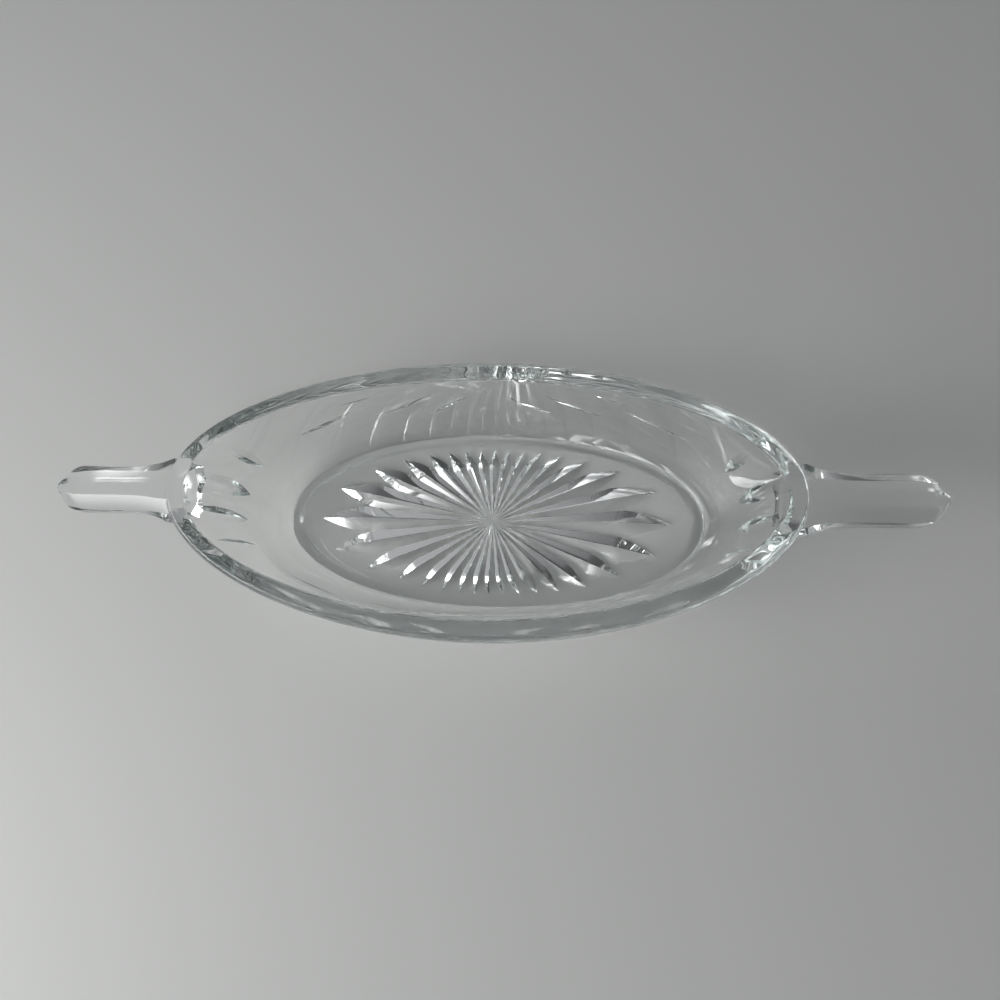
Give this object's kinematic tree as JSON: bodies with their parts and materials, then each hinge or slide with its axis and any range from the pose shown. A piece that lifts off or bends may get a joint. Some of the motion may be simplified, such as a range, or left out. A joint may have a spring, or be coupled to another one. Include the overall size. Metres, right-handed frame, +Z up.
{
  "type": "oval glass dish",
  "caption": "Boat-shaped oval dish of clear pressed glass with a star in its floor and a faceted handle at each end.",
  "frame": {"origin": "middle of the dish, on the surface that the foot ring stands on", "axes": "+X along the dish towards one handle, +Y across it, +Z up"},
  "size_m": [0.228, 0.075, 0.047],
  "materials": {
    "pressed_glass": "clear soda-lime glass, fire-polished, with a faint grey-green tint in its depth"
  },
  "bodies": {
    "root": {"star_floor": "pressed_glass", "foot_ring": "pressed_glass", "front_wall": "pressed_glass", "back_wall": "pressed_glass", "left_end_wall": "pressed_glass", "right_end_wall": "pressed_glass", "rim": "pressed_glass", "left_handle": "pressed_glass", "right_handle": "pressed_glass"}
  },
  "joints": []
}
